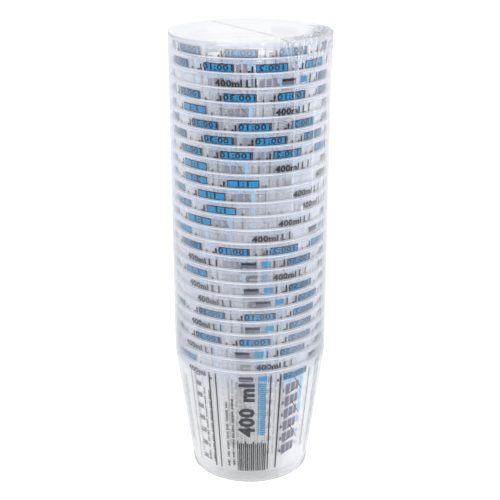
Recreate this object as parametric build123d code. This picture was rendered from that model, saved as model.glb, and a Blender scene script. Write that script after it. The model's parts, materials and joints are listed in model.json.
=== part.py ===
from build123d import *
import os
from math import cos, radians, sin

# A wrapped stack of graduated mixing cups, standing upright, in millimetres.
# The origin is the centre of the face that the stack stands on, with +Z up.

# The stack
cup_count = 25
nest_pitch = 8.5

# The cup's height, and the outer radius of its foot
cup_height = 85.0
foot_radius = 38.0

# The cup's wall, its foot band, its floor and the ledge that the next cup stands on
cup_wall = 0.6
foot_wall = 1.0
floor_thickness = 0.9
floor_recess = 1.0
ledge_thickness = 0.8

# The rim, which turns out over the wall and then down
rim_overhang = 1.9
rim_drop = 2.8
rim_skin = 0.7

# The moulding gate's pip under the floor
gate_radius = 1.2
gate_drop = 0.3

# Rounding on the edges of the cup's foot, inside its floor, and on its rim
foot_round = 0.4
floor_round = 0.5
rim_round = 0.35

# Clearances between nested cups, at the wall and at the foot
nest_clearance = 0.3
foot_clearance = 0.3

# The clear film round the stack
film_thickness = 0.2
film_clearance = 0.3
film_round = 0.5

# The film's lid over the top cup, and the seam folded flat across the lid
lid_clearance = 0.1
seam_width = 3.2
seam_thickness = 0.3
seam_turn = -59.0
seam_start_share = 0.95
seam_end_share = 0.55

# Every cup leans out just enough for one more wall and its clearance at each step up
wall_lean = (cup_wall + nest_clearance) / nest_pitch
shoulder_height = nest_pitch - ledge_thickness
floor_top = floor_recess + floor_thickness
stack_base = film_thickness
stack_top = stack_base + (cup_count - 1) * nest_pitch + cup_height


def wall_inside(height):
    """Inner radius of the cup's wall, at a height over the cup's foot."""
    return foot_radius + foot_clearance + (height - nest_pitch) * wall_lean


def wall_outside(height):
    """Outer radius of the cup's wall, at a height over the cup's foot."""
    return wall_inside(height) + cup_wall


rim_radius = wall_outside(cup_height) + rim_overhang
film_inside = rim_radius + film_clearance


def revolved(corners):
    """One solid turned round the Z axis from (radius, height, rounding) corners."""
    with BuildPart() as turned:
        with BuildSketch(Plane.XZ):
            with BuildLine():
                points = [(radius, height) for radius, height, rounding in corners]
                rounds = [rounding for radius, height, rounding in corners]
                FilletPolyline(*points, radius=rounds, close=True)
            make_face()
        revolve(axis=Axis.Z)
    return turned.part


def cup():
    """One cup, standing on z = 0: foot band, ledge, leaning wall and turned-down rim."""
    foot_inside = foot_radius - foot_wall
    rim_under = cup_height - rim_skin
    rim_foot = cup_height - rim_drop
    rim_inside = rim_radius - rim_skin
    underside = [
        (0, floor_recess - gate_drop, 0),
        (gate_radius, floor_recess - gate_drop, 0),
        (gate_radius, floor_recess, 0),
        (foot_inside, floor_recess, 0),
        (foot_inside, 0, 0),
    ]
    outside = [
        (foot_radius, 0, foot_round),
        (foot_radius, shoulder_height, 0),
        (wall_outside(shoulder_height), shoulder_height, 0),
        (wall_outside(rim_under), rim_under, 0),
        (rim_inside, rim_under, 0),
        (rim_inside, rim_foot, 0),
        (rim_radius, rim_foot, 0),
        (rim_radius, cup_height, rim_round),
    ]
    inside = [
        (wall_inside(cup_height), cup_height, 0),
        (wall_inside(nest_pitch), nest_pitch, 0),
        (foot_inside, nest_pitch, 0),
        (foot_inside, floor_top, floor_round),
        (0, floor_top, 0),
    ]
    return revolved(underside + outside + inside)


def film_sleeve():
    """The film: flat under the foot, up the bottom cup's side, then straight up past every rim."""
    foot_turn = foot_radius + film_clearance
    shoulder_turn = wall_outside(shoulder_height) + film_clearance
    shoulder_level = stack_base + shoulder_height
    rim_level = stack_base + cup_height - rim_drop
    inside = [
        (0, stack_base, 0),
        (foot_turn, stack_base, 0),
        (shoulder_turn, shoulder_level, 0),
        (film_inside, rim_level, 0),
        (film_inside, stack_top, 0),
    ]
    outside = [
        (film_inside + film_thickness, stack_top, 0),
        (film_inside + film_thickness, rim_level, film_round),
        (shoulder_turn + film_thickness, shoulder_level, film_round),
        (foot_turn + film_thickness, 0, 0),
        (0, 0, 0),
    ]
    return revolved(inside + outside)


def film_lid():
    """The flat film over the top cup's mouth, resting on that cup's rim."""
    lid_radius = film_inside - lid_clearance
    return revolved(
        [
            (0, stack_top, 0),
            (lid_radius, stack_top, 0),
            (lid_radius, stack_top + film_thickness, 0),
            (0, stack_top + film_thickness, 0),
        ]
    )


def film_seam():
    """The lid's heat-sealed seam, folded flat and running from the back towards the front right."""
    start = -seam_start_share * rim_radius
    end = seam_end_share * rim_radius
    turn = radians(seam_turn)
    middle = (start + end) / 2
    place = (middle * cos(turn), middle * sin(turn), stack_top + film_thickness)
    strip = Box(
        end - start,
        seam_width,
        seam_thickness,
        align=(Align.CENTER, Align.CENTER, Align.MIN),
    )
    return Location(place, (0, 0, seam_turn)) * strip


def cups():
    """Every cup of the stack, from the bottom up, each standing on the ledge of the one below."""
    one = cup()
    for number in range(cup_count):
        height = stack_base + number * nest_pitch
        yield f"cup_{number + 1:02d}", Pos(0, 0, height) * one


os.makedirs("parts", exist_ok=True)
pieces = dict(cups())
pieces["film_sleeve"] = film_sleeve()
pieces["film_lid"] = film_lid()
pieces["film_seam"] = film_seam()
for name, piece in pieces.items():
    export_step(piece, f"parts/{name}.step")
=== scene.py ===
import json
import math
import random

import bmesh
import bpy
from mathutils import Matrix, Vector


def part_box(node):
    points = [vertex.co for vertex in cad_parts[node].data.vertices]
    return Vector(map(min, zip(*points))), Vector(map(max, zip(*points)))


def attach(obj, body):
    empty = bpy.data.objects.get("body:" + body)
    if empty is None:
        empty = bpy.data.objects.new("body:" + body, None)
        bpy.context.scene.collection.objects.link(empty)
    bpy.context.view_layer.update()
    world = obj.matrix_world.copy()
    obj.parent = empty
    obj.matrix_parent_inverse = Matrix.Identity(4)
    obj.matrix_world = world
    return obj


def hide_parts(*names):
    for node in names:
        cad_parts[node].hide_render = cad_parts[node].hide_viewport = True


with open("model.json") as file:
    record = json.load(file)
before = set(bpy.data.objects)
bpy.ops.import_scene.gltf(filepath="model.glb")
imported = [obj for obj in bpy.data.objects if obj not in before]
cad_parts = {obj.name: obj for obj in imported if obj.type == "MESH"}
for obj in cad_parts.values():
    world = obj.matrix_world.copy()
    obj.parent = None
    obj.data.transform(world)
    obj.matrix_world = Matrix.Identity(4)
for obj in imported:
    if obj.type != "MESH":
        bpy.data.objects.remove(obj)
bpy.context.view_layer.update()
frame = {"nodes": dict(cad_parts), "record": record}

MM = 0.001
CUPS = sorted(name for name in frame["nodes"] if name.startswith("cup_"))
TOP_CUP = CUPS[-1]
BODY_OF = {
    node: body
    for body, nodes in frame["record"]["behaviour"]["bodies"].items()
    for node in nodes
}

# The cup, as its solid is built
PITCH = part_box(CUPS[1])[0].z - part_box(CUPS[0])[0].z
CUP_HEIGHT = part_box(CUPS[0])[1].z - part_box(CUPS[0])[0].z
RIM_RADIUS = (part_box(CUPS[0])[1].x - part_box(CUPS[0])[0].x) / 2
STACK_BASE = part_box(CUPS[0])[0].z
STACK_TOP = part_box(TOP_CUP)[1].z
FOOT_RADIUS = 38.0 * MM
FOOT_WALL = 1.0 * MM
WALL = 0.6 * MM
NEST_CLEARANCE = 0.3 * MM
FOOT_CLEARANCE = 0.3 * MM
FLOOR_TOP = 1.9 * MM
RIM_DROP = 2.8 * MM
RIM_LEVEL = STACK_BASE + CUP_HEIGHT - RIM_DROP
LEDGE = 0.8 * MM
LEAN = (WALL + NEST_CLEARANCE) / PITCH
SHOULDER = PITCH - LEDGE

# How far each cup is turned in the stack, from the bottom up, in degrees
CUP_TURNS = (
    -2, 60, -5, -119, 3, -115, 11, 2, 73, 0, -135, 57, 77,
    97, 89, 114, 74, -133, -107, -119, 74, -91, 30, -146, -90,
)


def wall_inside(height):
    """Inner radius of the cup's wall, at a height over its foot."""
    return FOOT_RADIUS + FOOT_CLEARANCE + (height - PITCH) * LEAN


def wall_outside(height):
    """Outer radius of the cup's wall, at a height over its foot."""
    return wall_inside(height) + WALL


def volume_below(height):
    """Millilitres that the cup holds up to a height over its foot."""
    foot = math.pi * (FOOT_RADIUS - FOOT_WALL) ** 2
    if height <= PITCH:
        return foot * (height - FLOOR_TOP) * 1e6
    low, high = wall_inside(PITCH), wall_inside(height)
    cone = math.pi * (height - PITCH) * (low * low + low * high + high * high) / 3
    return (foot * (PITCH - FLOOR_TOP) + cone) * 1e6


def height_of(volume):
    """Height over the foot at which the cup holds a volume in millilitres."""
    low, high = FLOOR_TOP, CUP_HEIGHT
    for _ in range(40):
        middle = (low + high) / 2
        if volume_below(middle) < volume:
            low = middle
        else:
            high = middle
    return low


def place_object(name, data):
    """A new object in the scene."""
    made = bpy.data.objects.new(name, data)
    bpy.context.scene.collection.objects.link(made)
    return made


# Materials

# A painted highlight: the bright line along the top of each rim
PAINTED_HIGHLIGHT_WIDTH = 0.6 * MM
# How much lighter thin ink is
THIN_INK = 0.03


def material(name):
    """A new material, with its nodes, its links and its main shader."""
    made = bpy.data.materials.new(name)
    made.use_nodes = True
    nodes, links = made.node_tree.nodes, made.node_tree.links
    return made, nodes, links, nodes["Principled BSDF"]


def ramp(nodes, links, source, stops):
    """Colours that follow a source through (place, colour) stops."""
    made = nodes.new("ShaderNodeValToRGB")
    elements = made.color_ramp.elements
    while len(elements) < len(stops):
        elements.new(0.5)
    for element, (place, colour) in zip(elements, stops):
        element.position = place
        element.color = colour
    links.new(source, made.inputs[0])
    return made.outputs[0]


def grey(value):
    """A plain level, as a ramp's colour."""
    return (value, value, value, 1.0)


def combined(nodes, links, operation, first, second):
    """Two values put together by a Math node, where the second may be a plain number."""
    made = nodes.new("ShaderNodeMath")
    made.operation = operation
    links.new(first, made.inputs[0])
    if isinstance(second, float):
        made.inputs[1].default_value = second
    else:
        links.new(second, made.inputs[1])
    return made.outputs[0]


def uneven(nodes, links, shader, scale, detail, strength, distance):
    """Gives a surface the slight waves of thin plastic."""
    place = nodes.new("ShaderNodeTexCoord")
    noise = nodes.new("ShaderNodeTexNoise")
    noise.inputs["Scale"].default_value = scale
    noise.inputs["Detail"].default_value = detail
    bump = nodes.new("ShaderNodeBump")
    bump.inputs["Strength"].default_value = strength
    bump.inputs["Distance"].default_value = distance
    links.new(place.outputs["Object"], noise.inputs["Vector"])
    links.new(noise.outputs["Fac"], bump.inputs["Height"])
    links.new(bump.outputs[0], shader.inputs["Normal"])


def facing(nodes, blend):
    """How far a surface turns away from the eye, from 0 to 1."""
    made = nodes.new("ShaderNodeLayerWeight")
    made.inputs["Blend"].default_value = blend
    return made.outputs["Facing"]


def cup_plastic():
    """Milky polypropylene: see-through face on, cloudy edge on; each rim has a painted highlight
    on its top edge and painted shade in thin bands under it and at the lip.
    """
    made, nodes, links, shader = material("cup_plastic")
    place = nodes.new("ShaderNodeTexCoord")
    split = nodes.new("ShaderNodeSeparateXYZ")
    links.new(place.outputs["Generated"], split.inputs[0])
    height = split.outputs["Z"]
    drop_line = 1 - RIM_DROP / CUP_HEIGHT
    highlight_line = 1 - PAINTED_HIGHLIGHT_WIDTH / CUP_HEIGHT
    milky = (0.78, 0.82, 0.91, 1)
    painted_shade = (0.50, 0.55, 0.67, 1)
    painted_highlight = (0.97, 0.975, 0.99, 1)
    # Painted highlight: the bright stop at the rim's top edge. Painted shade: the dim bands just
    # under it and at the lip's lower edge.
    tint = ramp(nodes, links, height, [
        (0.0, (0.96, 0.965, 0.98, 1)),
        (0.80, (0.92, 0.925, 0.95, 1)),
        (0.88, milky),
        (drop_line - 0.005, milky),
        (drop_line - 0.002, painted_shade),
        (drop_line + 0.004, painted_shade),
        (drop_line + 0.006, milky),
        (highlight_line - 0.008, milky),
        (highlight_line - 0.006, painted_shade),
        (highlight_line - 0.001, painted_shade),
        (highlight_line + 0.001, painted_highlight),
    ])
    links.new(tint, shader.inputs["Base Color"])
    # The painted highlight and the bands of painted shade are also more opaque than the wall.
    body = ramp(nodes, links, height, [
        (0.80, grey(0.16)),
        (0.88, grey(0.11)),
        (drop_line - 0.005, grey(0.11)),
        (drop_line - 0.002, grey(0.30)),
        (drop_line + 0.004, grey(0.30)),
        (drop_line + 0.006, grey(0.09)),
        (highlight_line - 0.008, grey(0.09)),
        (highlight_line - 0.006, grey(0.32)),
        (highlight_line - 0.001, grey(0.32)),
        (highlight_line + 0.001, grey(0.62)),
    ])
    haze_and_painted_light = combined(nodes, links, "MAXIMUM", body, facing(nodes, 0.45))
    links.new(haze_and_painted_light, shader.inputs["Alpha"])
    shader.inputs["Roughness"].default_value = 0.28
    shader.inputs["IOR"].default_value = 1.49
    uneven(nodes, links, shader, scale=60, detail=3, strength=0.08, distance=0.2 * MM)
    return made


def ink(name, colour):
    """Pad-printed ink, a little uneven where it is thin."""
    made, nodes, links, shader = material(name)
    place = nodes.new("ShaderNodeTexCoord")
    noise = nodes.new("ShaderNodeTexNoise")
    noise.inputs["Scale"].default_value = 900
    links.new(place.outputs["Object"], noise.inputs["Vector"])
    lighter = tuple(part + (1 - part) * THIN_INK for part in colour)
    stops = [(0.35, (*colour, 1)), (0.75, (*lighter, 1))]
    tint = ramp(nodes, links, noise.outputs["Fac"], stops)
    links.new(tint, shader.inputs["Base Color"])
    shader.inputs["Roughness"].default_value = 0.5
    shader.inputs["Specular IOR Level"].default_value = 0.1
    return made


def film_plastic():
    """Thin clear film: almost unseen face on, cloudy where it turns away, with painted highlights
    and painted shade on its creases, pleats and folds.

    Each point's own attributes add to how clouded and how dark the film is there, painted
    highlights and painted shade among them.
    """
    made, nodes, links, shader = material("film")
    shader.inputs["Roughness"].default_value = 0.12
    shader.inputs["Specular IOR Level"].default_value = 0.3
    away = facing(nodes, 0.5)
    haze = ramp(nodes, links, away, [
        (0.0, grey(0.01)),
        (0.15, grey(0.02)),
        (0.32, grey(0.09)),
        (0.55, grey(0.27)),
        (0.78, grey(0.58)),
        (0.86, grey(0.93)),
    ])
    cloud_and_glint = nodes.new("ShaderNodeAttribute")
    cloud_and_glint.attribute_name = "cloud_and_glint"
    haze_and_painted_light = combined(nodes, links, "MAXIMUM", haze, cloud_and_glint.outputs["Fac"])
    links.new(haze_and_painted_light, shader.inputs["Alpha"])
    shade = nodes.new("ShaderNodeAttribute")
    shade.attribute_name = "shade"
    outline = ramp(nodes, links, away, [(0.88, grey(0.0)), (0.98, grey(0.5))])
    darkness = combined(nodes, links, "MAXIMUM", outline, shade.outputs["Fac"])
    pale, dark = (0.95, 0.955, 0.975, 1), (0.36, 0.38, 0.44, 1)
    tint = ramp(nodes, links, darkness, [(0.0, pale), (1.0, dark)])
    links.new(tint, shader.inputs["Base Color"])
    uneven(nodes, links, shader, scale=55, detail=4, strength=0.35, distance=0.5 * MM)
    return made


CUP_PLASTIC = cup_plastic()
FILM = film_plastic()
INKS = (
    ink("ink_dark", (0.004, 0.004, 0.014)),
    ink("ink_blue", (0.004, 0.215, 0.45)),
    ink("ink_pale_blue", (0.22, 0.50, 0.74)),
    ink("ink_lavender", (0.11, 0.11, 0.18)),
)
DARK, BLUE, PALE_BLUE, LAVENDER = range(4)


# The print, laid on the cup's wall at an angle round it and a height over its foot

# How far the inks stand off the wall; dark ink is printed over the others
INK_LIFT = 0.14 * MM
OVERPRINT_LIFT = 0.20 * MM
# The widest piece of print that isn't bent round the wall, in degrees and as a strip
BEND_STEP = 2.5
LETTER_STRIP = 1.2 * MM
# The height of a digit, as a share of the lettering's size
DIGIT_SHARE = 0.7


def cut_across(flat, axis, spacing):
    """Cuts a flat mesh into strips, so that it can bend round the wall."""
    shape = bmesh.new()
    shape.from_mesh(flat)
    reach = max(abs(getattr(vertex.co, axis)) for vertex in shape.verts)
    normal = (1, 0, 0) if axis == "x" else (0, 1, 0)
    cuts = int(reach / spacing)
    for step in range(-cuts, cuts + 1):
        place = tuple(step * spacing * share for share in normal)
        every = shape.verts[:] + shape.edges[:] + shape.faces[:]
        bmesh.ops.bisect_plane(shape, geom=every, plane_co=place, plane_no=normal)
    shape.to_mesh(flat)
    shape.free()


class Print:
    """Flat shapes wrapped on the wall. Angles are in radians to the right of the cup's front."""

    def __init__(self):
        self.points, self.faces, self.inks = [], [], []

    def point(self, angle, height, tone):
        """Adds a point on the wall, and gives its number."""
        radius = wall_outside(height) + (OVERPRINT_LIFT if tone == DARK else INK_LIFT)
        self.points.append((radius * math.sin(angle), -radius * math.cos(angle), height))
        return len(self.points) - 1

    def quad_strip(self, lower, upper, tone):
        """Faces between two rows of (angle, height) places."""
        low = [self.point(*place, tone) for place in lower]
        high = [self.point(*place, tone) for place in upper]
        for corners in zip(low, low[1:], high[1:], high):
            self.faces.append(corners)
            self.inks.append(tone)

    def patch(self, left, right, low, high, tone, slant=0.0):
        """A block from one angle to another; slant lifts its right side by that much height."""
        steps = max(1, math.ceil(math.degrees(right - left) / BEND_STEP))
        shares = [step / steps for step in range(steps + 1)]
        angles = [left + (right - left) * share for share in shares]
        self.quad_strip(
            [(angle, low + slant * share) for angle, share in zip(angles, shares)],
            [(angle, high + slant * share) for angle, share in zip(angles, shares)],
            tone,
        )

    def block(self, angle, height, wide, tall, tone, slant=0.0):
        """A block given by its middle, in metres along the wall."""
        half = wide / 2 / wall_outside(height)
        low, high = height - tall / 2, height + tall / 2
        self.patch(angle - half, angle + half, low, high, tone, slant)

    def column(self, angle, low, high, wide, tone):
        """A line straight up the wall."""
        half = wide / 2 / wall_outside((low + high) / 2)
        self.patch(angle - half, angle + half, low, high, tone)

    def stroke(self, start, end, wide, tone):
        """A straight line between two (angle, height) places, never upright."""
        (left, low), (right, high) = start, end
        self.patch(left, right, low - wide / 2, low + wide / 2, tone, slant=high - low)

    def words(
        self, text, angle, height, tall, tone,
        bold=0.0, stretch=1.0, mirrored=False, upright=False,
    ):
        """Lettering centred on a place; mirrored reads through the cup, and upright runs up it."""
        curve = bpy.data.curves.new("words", "FONT")
        curve.body = text
        curve.size = tall / DIGIT_SHARE
        curve.align_x, curve.align_y = "CENTER", "CENTER"
        curve.space_character = 1.08
        curve.offset = bold
        curve.resolution_u = 2
        holder = bpy.data.objects.new("words", curve)
        flat = bpy.data.meshes.new_from_object(holder)
        cut_across(flat, "y" if upright else "x", LETTER_STRIP)
        start = len(self.points)
        for vertex in flat.vertices:
            x, y = vertex.co.x * stretch, vertex.co.y
            if mirrored:
                x = -x
            if upright:
                x, y = -y, x
            level = height + y
            self.point(angle + x / wall_outside(level), level, tone)
        for face in flat.polygons:
            self.faces.append(tuple(start + index for index in face.vertices))
            self.inks.append(tone)
        bpy.data.objects.remove(holder)
        bpy.data.curves.remove(curve)
        bpy.data.meshes.remove(flat)

    def mesh(self):
        """All of the print as one mesh, with one material for each ink."""
        made = bpy.data.meshes.new("cup_print")
        made.from_pydata(self.points, [], self.faces)
        for tone in INKS:
            made.materials.append(tone)
        made.polygons.foreach_set("material_index", self.inks)
        made.update()
        return made


# Where the print's panels stand round the cup, in degrees, and what their boxes say
RATIO_PANELS = (
    (41, "100:50"), (84, "100:30"), (123, "100:10"), (162, "100:2"), (201, "2:1"), (241, "1:1"),
)
SCALE_PLACE = -49
CAPACITY_PLACE = 0
CAPACITY = 400
PRINT_LOW = PITCH + 1.0 * MM
THIN_LINE = 1.0 * MM
FINE_LINE = 0.5 * MM

# The ratio panels: a box over steps, each of blocks at (share of the half width, width share)
BOX_WIDE, BOX_TALL = 18.5 * MM, 4.3 * MM
BOX_HEIGHT = CUP_HEIGHT - RIM_DROP - 3.4 * MM
BOX_TOP_OF_STEPS = BOX_HEIGHT - BOX_TALL
STEPS = 6
STEPS_LOW = PRINT_LOW + 8 * MM
STEP_RISE = (BOX_TOP_OF_STEPS - 2 * MM - STEPS_LOW) / STEPS
STEP_SLANT = 2.4 * MM
STEP_BLOCKS = ((-0.62, 0.26), (-0.18, 0.26), (0.22, 0.20))
STEP_BLOCK_WIDE = BOX_WIDE * 0.62

# The volume scale's marks, and the two lines that run up beside it, in degrees
LONG_MARK, LONG_MARK_TALL = 6.0 * MM, 0.7 * MM
SHORT_MARK, SHORT_MARK_TALL = 2.2 * MM, 0.45 * MM
SCALE_LEFT_LINE, SCALE_RIGHT_LINE, SCALE_DOT = -4, 17, 18.6

# Columns of dashes: degrees, seed, start over the print's low end, end as a share of the
# cup's height, how many columns, and degrees between them
SMALL_PRINTS = (
    (-38.5, 11, 2 * MM, 0.84, 2, 5.2),
    (-78, 12, 8 * MM, 0.86, 5, 3.4),
    (-18, 13, 2 * MM, 0.80, 2, 5.0),
)
LINE_PLACES = (-26.0, 18.5, 26.5)
LINES_HIGH = 0.964

# The capacity panel: lettering, a blue comb beside it, marks over both, and a fine comb below
CAPACITY_MIDDLE = 0.66
COMB_LOW, COMB_HIGH = 0.44, 0.90
COMB_PLACE = 12.2
COMB_TEETH = 27
HEAD_PLACE, HEAD_HEIGHT = -1, 0.94
BARS, BAR_START, BAR_SPACING = 15, -9.2, 1.8


def ratio_panel(print_, place, label):
    """A blue box with a mixing ratio over slanted steps that are read through the cup."""
    angle = math.radians(place)
    half = BOX_WIDE / 2 / wall_outside(BOX_HEIGHT)
    top = BOX_TOP_OF_STEPS
    rise = STEP_RISE
    print_.block(angle, BOX_HEIGHT, BOX_WIDE, BOX_TALL, BLUE)
    print_.words(
        label, angle, BOX_HEIGHT, 3.2 * MM, DARK, mirrored=True, bold=0.12 * MM, stretch=1.5
    )
    for edge in (-1, 1):
        level = BOX_HEIGHT + edge * BOX_TALL / 2
        print_.stroke((angle - half, level), (angle + half, level), FINE_LINE, DARK)
        print_.block(angle + edge * half, BOX_HEIGHT, FINE_LINE, BOX_TALL, DARK)
    right_low, right_high = PRINT_LOW + 9 * MM, top + BOX_TALL * 0.8
    print_.column(angle - half * 1.25, PRINT_LOW, top + BOX_TALL * 1.3, THIN_LINE, DARK)
    print_.column(angle + half * 1.45, right_low, right_high, THIN_LINE * 0.7, DARK)
    dot_height = BOX_HEIGHT - BOX_TALL * 0.45
    print_.block(angle - half * 1.45, dot_height, 1.5 * MM, 1.2 * MM, DARK)
    print_.block(angle - half * 0.2, top + 0.6 * MM, BOX_WIDE * 0.9, 1.6 * MM, PALE_BLUE)
    for step in range(STEPS):
        level = STEPS_LOW + rise * (step + 0.5)
        for share, wide in STEP_BLOCKS:
            print_.block(
                angle + half * share,
                level + STEP_SLANT * (share + 1) * 0.5,
                STEP_BLOCK_WIDE * wide,
                rise * 0.72,
                LAVENDER,
                slant=STEP_SLANT * wide,
            )
        under_step = (angle - half * 0.78, level - rise * 0.4)
        over_step = (angle + half * 0.42, level + STEP_SLANT * 0.5)
        print_.stroke(under_step, over_step, FINE_LINE, DARK)
        digit = str(STEPS - step)
        digit_angle = angle - half * 0.95
        print_.words(digit, digit_angle, level, 2.2 * MM, DARK, mirrored=True, bold=0.15 * MM)
        pale_tall = rise * 0.2 * (step + 0.6)
        print_.block(angle + half * 0.66, level + 2 * MM, 2.2 * MM, pale_tall, PALE_BLUE)
        if step % 2:
            start = (angle - half * 0.2, level + rise)
            end = (angle + half * 0.7, level - rise * 0.3)
            print_.stroke(start, end, THIN_LINE, DARK)


def millilitre_scale(print_, place):
    """The volume scale: a labelled mark every 50 ml and a short mark every 10 ml."""
    angle = math.radians(place)
    for volume in range(50, CAPACITY + 1, 10):
        level = height_of(volume)
        labelled = volume % 50 == 0
        wide = LONG_MARK if labelled else SHORT_MARK
        tall = LONG_MARK_TALL if labelled else SHORT_MARK_TALL
        half = wide / 2 / wall_outside(level)
        print_.block(angle + half, level, wide, tall, DARK)
        if volume == CAPACITY:
            print_.words(
                f"{CAPACITY}ml", angle + half, level + 2.6 * MM, 3.7 * MM, DARK,
                bold=0.2 * MM, stretch=1.15,
            )
        elif labelled:
            print_.words(
                str(volume), angle + half * 1.2, level + 1.6 * MM, 2.1 * MM, DARK,
                bold=0.12 * MM,
            )
    top = height_of(CAPACITY)
    left = angle + math.radians(SCALE_LEFT_LINE)
    right = angle + math.radians(SCALE_RIGHT_LINE)
    print_.column(left, PRINT_LOW, top + 4 * MM, FINE_LINE, DARK)
    print_.column(right, PRINT_LOW, top + 5 * MM, THIN_LINE, DARK)
    dot = angle + math.radians(SCALE_DOT)
    print_.block(dot, top + 0.6 * MM, 1.6 * MM, 1.2 * MM, DARK)


def small_print(print_, place, seed, low, high, lines, spacing):
    """Columns of fine dashes that run up the wall, in place of small print."""
    draw = random.Random(seed)
    for line in range(lines):
        angle = math.radians(place + line * spacing)
        level = low + draw.uniform(0, 3) * MM
        top = high - draw.uniform(0, 9) * MM
        while level < top:
            for _ in range(draw.randint(3, 7)):
                tall = draw.uniform(0.5, 1.0) * MM
                print_.block(angle, level, draw.uniform(1.0, 1.7) * MM, tall, DARK)
                level += tall + draw.uniform(0.4, 0.65) * MM
            level += draw.uniform(0.9, 1.8) * MM


def capacity_panel(print_, place):
    """The capacity in bold, running up the wall, with a blue comb, marks and a fine comb."""
    angle = math.radians(place)
    middle = CUP_HEIGHT * CAPACITY_MIDDLE
    print_.words("400 ml", angle, middle, 9.4 * MM, DARK, upright=True, bold=0.55 * MM)
    comb = angle + math.radians(COMB_PLACE)
    comb_low, comb_high = CUP_HEIGHT * COMB_LOW, CUP_HEIGHT * COMB_HIGH
    for tooth in range(COMB_TEETH):
        level = comb_low + (comb_high - comb_low) * tooth / COMB_TEETH
        wide = (5.2 if tooth % 4 else 3.8) * MM
        print_.block(comb, level, wide, 0.92 * MM, BLUE)
    head = angle + math.radians(HEAD_PLACE)
    head_height = CUP_HEIGHT * HEAD_HEIGHT
    print_.block(head, head_height, 9.0 * MM, 1.5 * MM, DARK)
    print_.block(head, head_height - 1.8 * MM, 9.0 * MM, 1.8 * MM, LAVENDER)
    print_.block(comb, head_height - 0.6 * MM, 5.2 * MM, 3.6 * MM, BLUE)
    for bar in range(BARS):
        place = angle + math.radians(BAR_START + BAR_SPACING * bar)
        top = PITCH + (22 if bar % 4 else 23.5) * MM
        print_.column(place, PITCH + 0.5 * MM, top, (0.8 if bar % 3 else 0.5) * MM, DARK)


def cup_print():
    """Everything that is printed on one cup."""
    print_ = Print()
    for place, label in RATIO_PANELS:
        ratio_panel(print_, place, label)
    millilitre_scale(print_, SCALE_PLACE)
    for place, seed, over_low, high_share, lines, spacing in SMALL_PRINTS:
        low, high = PRINT_LOW + over_low, CUP_HEIGHT * high_share
        small_print(print_, place, seed, low, high, lines, spacing)
    for place in LINE_PLACES:
        high = CUP_HEIGHT * LINES_HIGH
        print_.column(math.radians(place), PRINT_LOW, high, THIN_LINE * 0.8, DARK)
    capacity_panel(print_, CAPACITY_PLACE)
    return print_.mesh()


def dress_cups():
    """Gives every cup its plastic and its own turned copy of the print."""
    plain = cup_print()
    for node, turn in zip(CUPS, CUP_TURNS):
        cup = frame["nodes"][node]
        cup.data.materials.clear()
        cup.data.materials.append(CUP_PLASTIC)
        lift = Matrix.Translation((0, 0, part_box(node)[0].z))
        mesh = plain.copy()
        mesh.transform(lift @ Matrix.Rotation(math.radians(turn), 4, "Z"))
        piece = place_object(node.replace("cup", "print"), mesh)
        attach(piece, BODY_OF[node])


# The film

FILM_CLEARANCE = 0.3 * MM
FILM_RADIUS = RIM_RADIUS + FILM_CLEARANCE + 0.1 * MM
FILM_STEPS = 900
FOOT_TURN = 0.6 * MM
# Long creases down the film: angle in degrees, top and bottom share of the stack, height in mm
FILM_CREASES = (
    (49, 0.93, 0.62, 0.35), (31, 0.97, 0.60, 0.22), (13, 0.62, 0.04, 0.12),
    (-35, 0.30, 0.02, 0.2), (8, 0.24, 0.0, 0.15), (66, 0.9, 0.2, 0.25), (-68, 0.95, 0.35, 0.2),
    (120, 0.9, 0.4, 0.2), (160, 0.8, 0.1, 0.16), (-130, 0.95, 0.3, 0.2), (-165, 0.7, 0.2, 0.16),
)
# Short pleats that fan down from the lid's gathered edge, in degrees, and how each one differs
PLEATS = tuple(range(24, 112, 3))
PLEAT_DRAWS = tuple(random.Random(place).uniform(-1, 1) for place in PLEATS)
# Half the width of a crease or a pleat on the sleeve, and of a pleat on the lid, in radians
CREASE_WIDTH = 0.009
LID_PLEAT_WIDTH = 0.022
# A small knot in the film, raised and made whiter as a painted glint
KNOT_PLACE = math.radians(39)
KNOT_SHARE = 0.655
KNOT_WIDTH, KNOT_TALL, KNOT_RISE = 0.02, 1.6 * MM, 0.9 * MM
# Where the film is gathered by the seam's end: its middle, its reach both ways, and its depth
GATHER_MIDDLE, GATHER_REACH, GATHER_DEPTH = math.radians(66), math.radians(48), 15 * MM
# How clouded the film is at the front and more at the sides, and where up the stack that ends
VEIL_FRONT, VEIL_SIDES, VEIL_TOP = 0.2, 0.75, 0.78
VEIL_LOW = 0.05
TOP_HAZE = 0.32


def crease(angle, place, width):
    """A narrow ridge round a place on the film, from 0 to 1."""
    away = (angle - place + math.pi) % (2 * math.pi) - math.pi
    return math.exp(-((away / width) ** 2))


def grid_mesh(name, rows, closed=True, cloud_and_glint=None, shade=None):
    """A mesh through rows of points, with each point's cloudiness, painted highlights included,
    and darkness, painted shade included.
    """
    points = [point for row in rows for point in row]
    count = len(rows[0])
    faces = []
    for row in range(len(rows) - 1):
        for step in range(count if closed else count - 1):
            after = (step + 1) % count
            a, b = row * count + step, row * count + after
            faces.append((a, b, b + count, a + count))
    mesh = bpy.data.meshes.new(name)
    mesh.from_pydata(points, [], faces)
    mesh.polygons.foreach_set("use_smooth", [True] * len(faces))
    mesh.update()
    for kind, values in (("cloud_and_glint", cloud_and_glint), ("shade", shade)):
        if values:
            mesh.attributes.new(kind, "FLOAT", "POINT").data.foreach_set("value", values)
    return place_object(name, mesh)


def stack_share(level):
    """How far up the stack a level is, from 0 to 1."""
    return (level - STACK_BASE) / (STACK_TOP - STACK_BASE)


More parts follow.
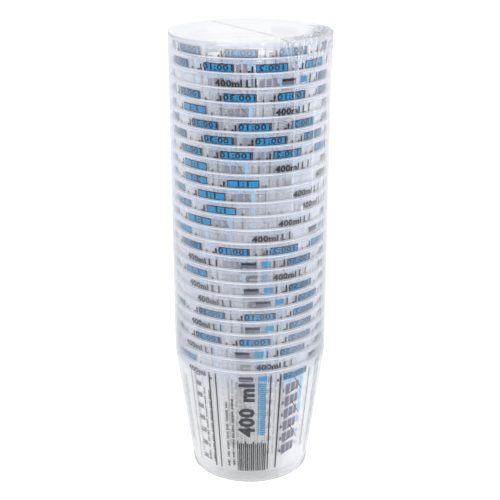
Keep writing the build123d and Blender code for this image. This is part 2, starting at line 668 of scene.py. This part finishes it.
def film_offset(angle, level):
    """How far the film stands off its tight line at a place, in metres."""
    share = stack_share(level)
    off = 0.0
    for place, top, bottom, tall in FILM_CREASES:
        if bottom < share < top:
            fade = min(1.0, (top - share) * 18, (share - bottom) * 18)
            drift = 0.005 * math.sin(share * 17 + place)
            off += tall * MM * fade * crease(angle, math.radians(place) + drift, CREASE_WIDTH)
    depth = STACK_TOP - level
    for place, draw in zip(PLEATS, PLEAT_DRAWS):
        down = depth / ((16 + 14 * abs(draw)) * MM)
        if down < 1:
            lean = draw * down * 0.22
            rise = 0.55 * MM * (1 - down) * (0.4 + abs(draw))
            off += rise * crease(angle, math.radians(place) + lean, CREASE_WIDTH)
    away = (level - STACK_BASE - KNOT_SHARE * (STACK_TOP - STACK_BASE)) / KNOT_TALL
    return off + KNOT_RISE * crease(angle, KNOT_PLACE, KNOT_WIDTH) * math.exp(-away * away)


def crumple(angle, run):
    """Gathered folds by the seam's end, from 0 to 1, at a distance from the lid's edge."""
    window = max(0.0, 1 - ((angle - GATHER_MIDDLE) / GATHER_REACH) ** 2)
    fade = max(0.0, 1 - run / GATHER_DEPTH)
    waves = math.sin(47 * angle + 900 * run) * math.sin(29 * angle - 1300 * run + 1.3)
    return window * fade * max(0.0, waves)


def veil(angle, share):
    """How clouded the film is, in patches: more round the sides and towards the bottom."""
    patches = 0.5 + 0.5 * math.sin(7 * angle + 9 * share) * math.sin(4 * angle - 23 * share + 1)
    side = 1 - max(0.0, math.cos(angle)) ** 2
    low = max(0.0, 1 - share / VEIL_TOP)
    return (VEIL_FRONT + VEIL_SIDES * side) * low * (0.3 + 0.7 * patches)


def sleeve_line():
    """The sleeve's outline as (radius, level) places, from under the foot up to the lid."""
    under = 0.1 * MM
    foot = FOOT_RADIUS + FILM_CLEARANCE + 0.1 * MM
    shoulder, shoulder_level = wall_outside(SHOULDER) + FILM_CLEARANCE, STACK_BASE + SHOULDER
    line = [
        (0.5 * MM, under),
        (FOOT_RADIUS * 0.6, under),
        (FOOT_RADIUS - 0.6 * MM, under),
        (foot, FOOT_TURN),
        (shoulder, shoulder_level),
    ]
    cone_steps, wall_steps = 24, 96
    for step in range(1, cone_steps + 1):
        share = step / cone_steps
        radius = shoulder + (FILM_RADIUS - shoulder) * share
        line.append((radius, shoulder_level + (RIM_LEVEL - shoulder_level) * share))
    for step in range(1, wall_steps + 1):
        line.append((FILM_RADIUS, RIM_LEVEL + (STACK_TOP - RIM_LEVEL) * step / wall_steps))
    line.append((FILM_RADIUS - 0.05 * MM, STACK_TOP + 0.12 * MM))
    line.append((FILM_RADIUS - 0.3 * MM, STACK_TOP + 0.2 * MM))
    return line


def sleeve_place(angle, radius, level):
    """A point of the sleeve, and how clouded and how dark the film is there, painted highlights
    and painted shade included.
    """
    off = film_offset(angle, level) if level > FOOT_TURN else 0.0
    fold = crumple(angle, max(0.0, STACK_TOP - level))
    reach = radius + off + 0.5 * MM * fold
    edge = 1.0 - 0.7 * crumple(angle, 0.0) if level >= STACK_TOP else 0.0
    near_top = max(0.0, 1 - (STACK_TOP - level) / PITCH)
    patch = veil(angle, stack_share(level)) if level >= RIM_LEVEL else VEIL_LOW
    haze = max(patch, TOP_HAZE * near_top ** 0.3)
    # Where the film stands off on creases, pleats and the knot, and on the gathered folds' crests,
    # it is whiter: a painted highlight.
    cloud_and_glint = max(min(0.7, 1.5 * off / MM), 0.6 * edge, haze, 0.8 * fold)
    # Painted shade on the slopes of the gathered folds.
    if 0.16 < fold < 0.3:
        shade = 0.75
    else:
        shade = 0.0 if near_top else 0.05 + 0.7 * patch
    point = (reach * math.sin(angle), -reach * math.cos(angle), level)
    return point, cloud_and_glint, max(0.5 * edge, shade)


def film_sleeve():
    """The film round the stack, with its creases, its pleats and its knot."""
    rows, cloud_and_glint, shade = [], [], []
    for radius, level in sleeve_line():
        row = []
        for step in range(FILM_STEPS):
            angle = 2 * math.pi * step / FILM_STEPS
            point, point_cloud_and_glint, dark = sleeve_place(angle, radius, level)
            row.append(point)
            cloud_and_glint.append(point_cloud_and_glint)
            shade.append(dark)
        rows.append(row)
    piece = grid_mesh("film_sleeve_drawn", rows, cloud_and_glint=cloud_and_glint, shade=shade)
    piece.data.materials.append(FILM)
    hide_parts("film_sleeve")
    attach(piece, BODY_OF["film_sleeve"])


def lid_pleat(angle, share):
    """How far the lid is pleated, from 0 to 1, at an angle and a share of its radius."""
    pleat = 0.0
    for place, draw in zip(PLEATS, PLEAT_DRAWS):
        reach = 0.66 + 0.2 * abs(draw)
        if share > reach:
            bend = draw * (1 - share) * 0.8 + 0.012 * math.sin(40 * share + 7 * draw)
            rise = min(1.0, (share - reach) * 12) * (0.5 + 0.5 * abs(draw))
            ridge = crease(angle, math.radians(place) + bend, LID_PLEAT_WIDTH)
            pleat = max(pleat, rise * ridge)
    return pleat


def film_lid():
    """The film across the top cup's mouth, gathered at the seam's end."""
    edge = FILM_RADIUS - 0.35 * MM
    hole = 0.2 * MM
    rings = 60
    rows, cloud_and_glint, shade = [], [], []
    for ring in range(rings + 1):
        share = ring / rings
        radius = max(edge * share, hole)
        row = []
        for step in range(FILM_STEPS):
            angle = 2 * math.pi * step / FILM_STEPS
            pleat = lid_pleat(angle, share)
            fold = crumple(angle, edge - radius)
            level = STACK_TOP + 0.15 * MM
            level += 0.12 * MM * math.sin(3 * angle + 5 * share) * share * (1 - share)
            level += 0.25 * MM * pleat + 0.9 * MM * fold * min(1.0, (1 - share) * 20)
            # The pleats and the folds' slopes are painted shade, and the folds' crests are a
            # painted highlight.
            cloud_and_glint.append(max(0.12, 0.8 * pleat, 0.95 * fold))
            shade.append(max(0.7 * pleat, 0.9 if 0.12 < fold < 0.3 else 0.0))
            row.append((radius * math.sin(angle), -radius * math.cos(angle), level))
        rows.append(row)
    piece = grid_mesh("film_lid_drawn", rows, cloud_and_glint=cloud_and_glint, shade=shade)
    piece.data.materials.append(FILM)
    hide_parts("film_lid")
    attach(piece, BODY_OF["film_lid"])


def film_seam():
    """The seam across the lid: a wavy strip with one dark edge."""
    low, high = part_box("film_seam")
    start = Vector((low.x, high.y, 0))
    end = Vector((high.x, low.y, 0))
    run = (end - start).normalized()
    side = Vector((-run.y, run.x, 0))
    width = 2.4 * MM
    steps = 90
    rows, cloud_and_glint, shade = [], [], []
    for across in (-0.5, -0.34, 0.34, 0.5):
        dark_edge = across < -0.45
        row = []
        for step in range(steps + 1):
            share = step / steps
            wave = 0.35 * MM * math.sin(share * 23) + 0.2 * MM * math.sin(share * 61)
            place = start.lerp(end, 0.03 + 0.94 * share) + side * (across * width + wave)
            lift = 0.32 * MM + 0.1 * MM * math.sin(share * 90) * across
            row.append((place.x, place.y, STACK_TOP + lift))
            cloud_and_glint.append(0.95 if dark_edge else 0.3)
            shade.append(1.0 if dark_edge else 0.1)
        rows.append(row)
    piece = grid_mesh("film_seam_drawn", rows, closed=False, cloud_and_glint=cloud_and_glint, shade=shade)
    piece.data.materials.append(FILM)
    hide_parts("film_seam")
    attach(piece, BODY_OF["film_seam"])


# The studio

FLOOR_SIZE = 6.0
FLOOR_GLOW = 0.35
WORLD_STRENGTH = 0.82


def backdrop():
    """A pale floor that shows as white to the camera but keeps the object's shadow."""
    mesh = bpy.data.meshes.new("floor")
    size = FLOOR_SIZE
    corners = [(-size, -size, 0), (size, -size, 0), (size, size, 0), (-size, size, 0)]
    mesh.from_pydata(corners, [], [(0, 1, 2, 3)])
    floor = place_object("floor", mesh)
    floor.location.z = -0.02 * MM
    made, nodes, links, shader = material("floor")
    shader.inputs["Base Color"].default_value = (0.93, 0.93, 0.94, 1)
    shader.inputs["Roughness"].default_value = 0.7
    shader.inputs["Emission Color"].default_value = (1, 1, 1, 1)
    path = nodes.new("ShaderNodeLightPath")
    glow = combined(nodes, links, "MULTIPLY", path.outputs["Is Camera Ray"], FLOOR_GLOW)
    links.new(glow, shader.inputs["Emission Strength"])
    mesh.materials.append(made)


def surroundings():
    """Soft light from all round, which the camera and reflections see as plain white."""
    world = bpy.data.worlds.new("studio")
    bpy.context.scene.world = world
    world.use_nodes = True
    nodes, links = world.node_tree.nodes, world.node_tree.links
    light = nodes["Background"]
    light.inputs["Color"].default_value = (0.97, 0.98, 1.0, 1)
    light.inputs["Strength"].default_value = WORLD_STRENGTH
    white = nodes.new("ShaderNodeBackground")
    white.inputs["Color"].default_value = (1, 1, 1, 1)
    path = nodes.new("ShaderNodeLightPath")
    camera_ray, glossy_ray = path.outputs["Is Camera Ray"], path.outputs["Is Glossy Ray"]
    seen = combined(nodes, links, "MAXIMUM", camera_ray, glossy_ray)
    mix = nodes.new("ShaderNodeMixShader")
    links.new(seen, mix.inputs[0])
    links.new(light.outputs[0], mix.inputs[1])
    links.new(white.outputs[0], mix.inputs[2])
    links.new(mix.outputs[0], nodes["World Output"].inputs["Surface"])


def lamp(name, place, aim, size, power):
    """A rectangular lamp that points at a place."""
    data = bpy.data.lights.new(name, "AREA")
    data.shape = "RECTANGLE"
    data.size, data.size_y = size
    data.energy = power
    made = place_object(name, data)
    made.location = place
    made.rotation_euler = (Vector(aim) - Vector(place)).to_track_quat("-Z", "Y").to_euler()
    return made


def lamps():
    """A lamp on each side, and a narrow one in front that draws the highlights."""
    middle = (0, 0, STACK_TOP / 2)
    side_size, front_size = (0.5, 1.2), (0.1, 1.0)
    lamp("lamp_left", (-0.9, -0.9, 0.9), middle, side_size, power=4.8)
    right = lamp("lamp_right", (1.0, -0.7, 0.8), middle, side_size, power=1.5)
    right.visible_glossy = False
    lamp("lamp_front", (0.4, -1.3, 0.5), middle, front_size, power=7)


def camera():
    """The photograph's viewpoint: close, above the rim and looking down the stack."""
    distance, over_top, tilt = 0.655, 0.098, 20.0
    long_side = 500
    focal_pixels = 1082
    data = bpy.data.cameras.new("camera")
    data.sensor_width = 36.0
    data.lens = focal_pixels * data.sensor_width / long_side
    made = place_object("camera", data)
    made.location = (0, -distance, STACK_TOP + over_top)
    made.rotation_euler = (math.radians(90 - tilt), 0, 0)
    bpy.context.scene.camera = made


dress_cups()
film_sleeve()
film_lid()
film_seam()
backdrop()
surroundings()
lamps()
camera()
scene = bpy.context.scene
scene.view_settings.view_transform = "Standard"
# Rays cross many walls of cups that stand inside one another
scene.cycles.transparent_max_bounces = 96
scene.cycles.max_bounces = 16
